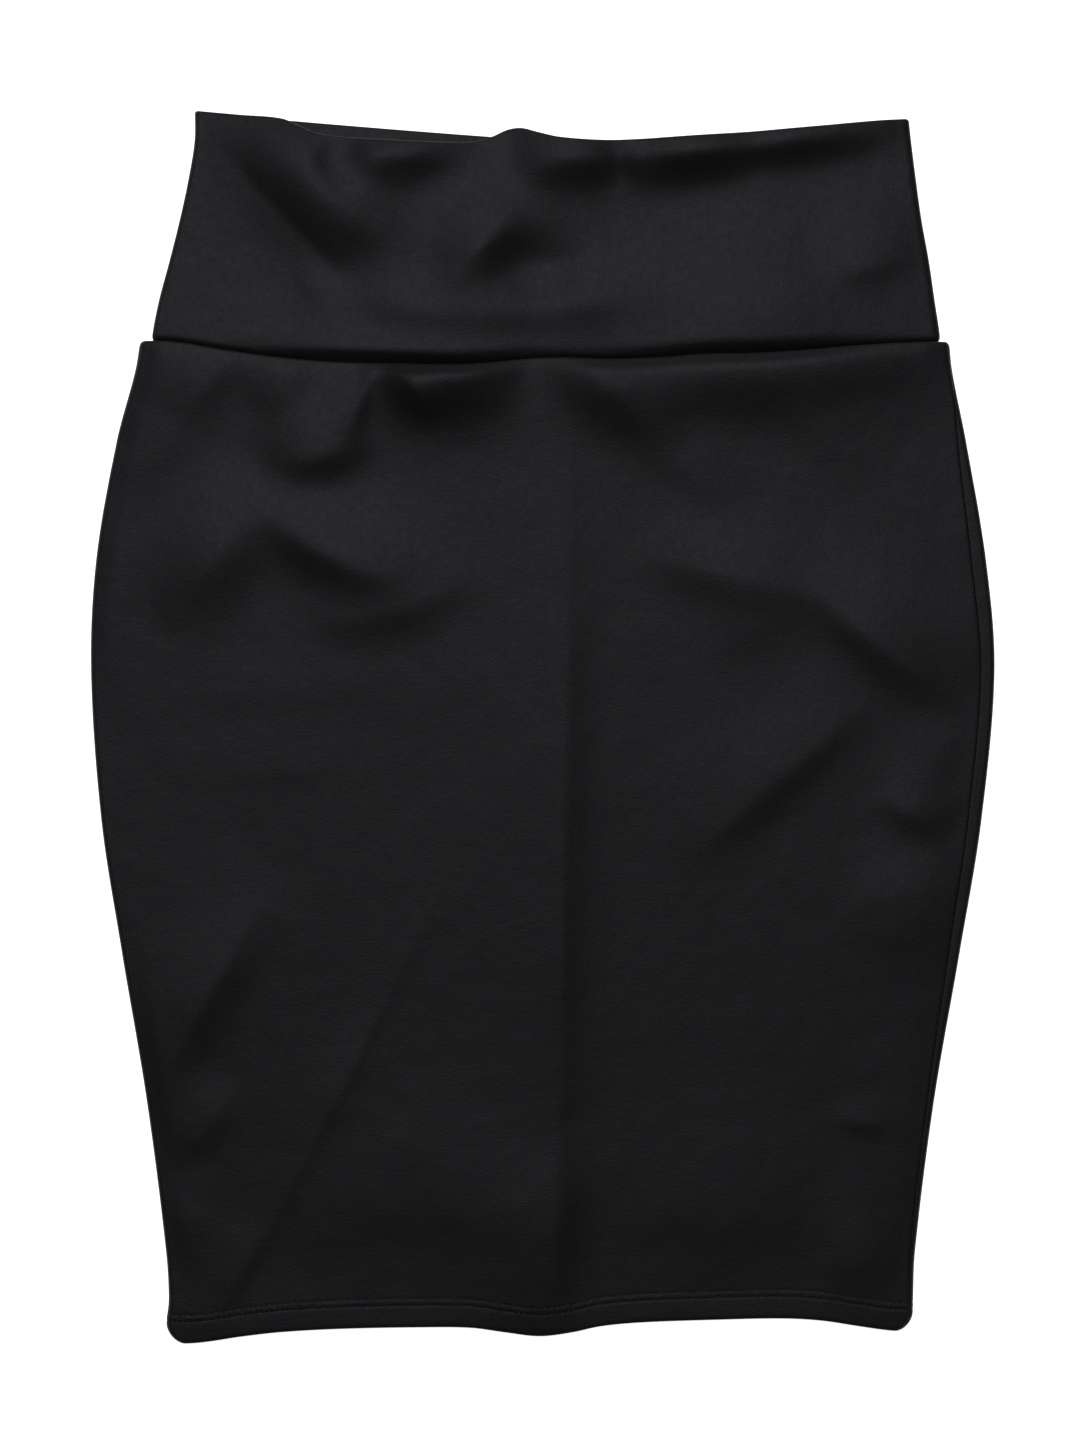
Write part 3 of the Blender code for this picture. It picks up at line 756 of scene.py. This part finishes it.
# rows of a shell's grid, by their distance from the edge
hemEdgeSteps = (0, 0.15, 0.35, 0.6, 0.95, 1.5, 2.4, 3.6, 5, 6.6, 8.2, 9.4)
sewingSteps = (10.1, 10.6, 11, 11.4, 11.9, 12.6, 13.3, 13.9, 14.3, 14.7, 15.2, 16, 17.2, 18.6)
hemSteps = hemEdgeSteps + sewingSteps
lipSteps = (13, 10, 7, 5, 3.6, 2.4, 1.7, 1.2, 0.85, 0.55)
footSteps = (-1.6, -1.1, -0.6, -0.1, 0.5, 1.4, 2.6, 4, 5.5)
topSteps = (5, 3, 1.8, 0.95, 0.6, 0.35, 0.15, 0)

placeCamera()
hangLights()
layFloor()
print("studio laid out")

skirtEnds = ((hemCorner, shoulderCorner), (hemHold, skirtSeamHold))
bandEnds = ((noCorner, bandTopCorner), (bandSeamHold, bandTopHold))
frontTube = Tube(skirtSides, hem, waistSeam, *skirtEnds, skirtFolds, shell["lowestSkirt"], True)
backTube = Tube(skirtSides, hem, backWaistSeam, *skirtEnds, skirtBackFolds, 0, False)
bandFrontTube = Tube(bandSides, waistSeam, frontTop, *bandEnds, bandFolds, shell["lowestBand"], True)
bandBackTube = Tube(bandSides, backWaistSeam, backTop, *bandEnds, bandBackFolds, 0, False)

front = clothShell(
    "skirt_front_cloth",
    frontTube,
    rowsBetween(hemSteps, lipSteps, pieceSizes["skirtFront"]["rows"]),
    frontWays(pieceSizes["skirtFront"]["columns"]),
    skirtProfile,
    hemmed=True,
)
back = clothShell(
    "skirt_back_cloth",
    backTube,
    rowsBetween(hemSteps, lipSteps, pieceSizes["skirtBack"]["rows"]),
    backWays(pieceSizes["skirtBack"]["columns"]),
    skirtProfile,
    hemmed=True,
)
bandFront = clothShell(
    "waistband_front_cloth",
    bandFrontTube,
    rowsBetween(footSteps, topSteps, pieceSizes["bandFront"]["rows"]),
    frontWays(pieceSizes["bandFront"]["columns"]),
    bandProfile,
    hemmed=False,
)
bandBack = clothShell(
    "waistband_back_cloth",
    bandBackTube,
    rowsBetween(footSteps, topSteps, pieceSizes["bandBack"]["rows"]),
    backWays(pieceSizes["bandBack"]["columns"]),
    bandProfile,
    hemmed=False,
)
for piece, node, turn in (
    (front, "skirt_front", 0.0),
    (back, "skirt_back", 0.4),
    (bandFront, "waistband_front", 0.9),
    (bandBack, "waistband_back", 1.3),
):
    piece.data.materials.append(knitCloth(node + "_knit", turn))
    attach(piece, "root")
    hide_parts(node)


# ---- the hem's two rows of stitches


def stitchRows(name, tube, underneath):
    maker = bmesh.new()
    pattern = np.random.default_rng(stitchSeeds["back" if underneath else "front"])
    clear = hemSewing["sideClearance"]
    for row in hemRows:
        for x in np.arange(hemSewing["start"], hemSewing["end"], hemSewing["pitch"]):
            y = float(tube.lower(np.array(x)) + row["at"])
            if not tube.left(y) + clear < x < tube.right(y) - clear:
                continue
            slope = float(tube.lower(np.array(x + 1)) - tube.lower(np.array(x - 1))) / 2
            relief = float(tube.relief(np.array(x), np.array(y)))
            if underneath:
                z = relief + row["sink"]
            else:
                z = float(tube.stack(np.array(y))) + relief - row["sink"]
            made = bmesh.ops.create_icosphere(maker, subdivisions=1, radius=0.5)["verts"]
            uneven = hemSewing["shortest"] + hemSewing["unevenness"] * pattern.random()
            size = (row["long"] * uneven, row["thick"], hemSewing["thickness"])
            bmesh.ops.scale(maker, verts=made, vec=size)
            turned = math.atan(slope) + hemSewing["skew"] * (pattern.random() - 0.5)
            for vertex in made:
                lx, ly, lz = vertex.co
                vertex.co = (
                    x + lx * math.cos(turned) - ly * math.sin(turned),
                    y + lx * math.sin(turned) + ly * math.cos(turned),
                    z + lz,
                )
    bmesh.ops.scale(maker, verts=maker.verts[:], vec=(mm, mm, mm))
    stitches = asObject(name, maker)
    print(name, len(stitches.data.polygons), "faces")
    return stitches


thread = sewingThread()
frontStitches = stitchRows("hem_stitches_front", frontTube, False)
backStitches = stitchRows("hem_stitches_back", backTube, True)
for stitches, node in ((frontStitches, "skirt_front"), (backStitches, "skirt_back")):
    stitches.data.materials.append(thread)
    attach(stitches, "root")
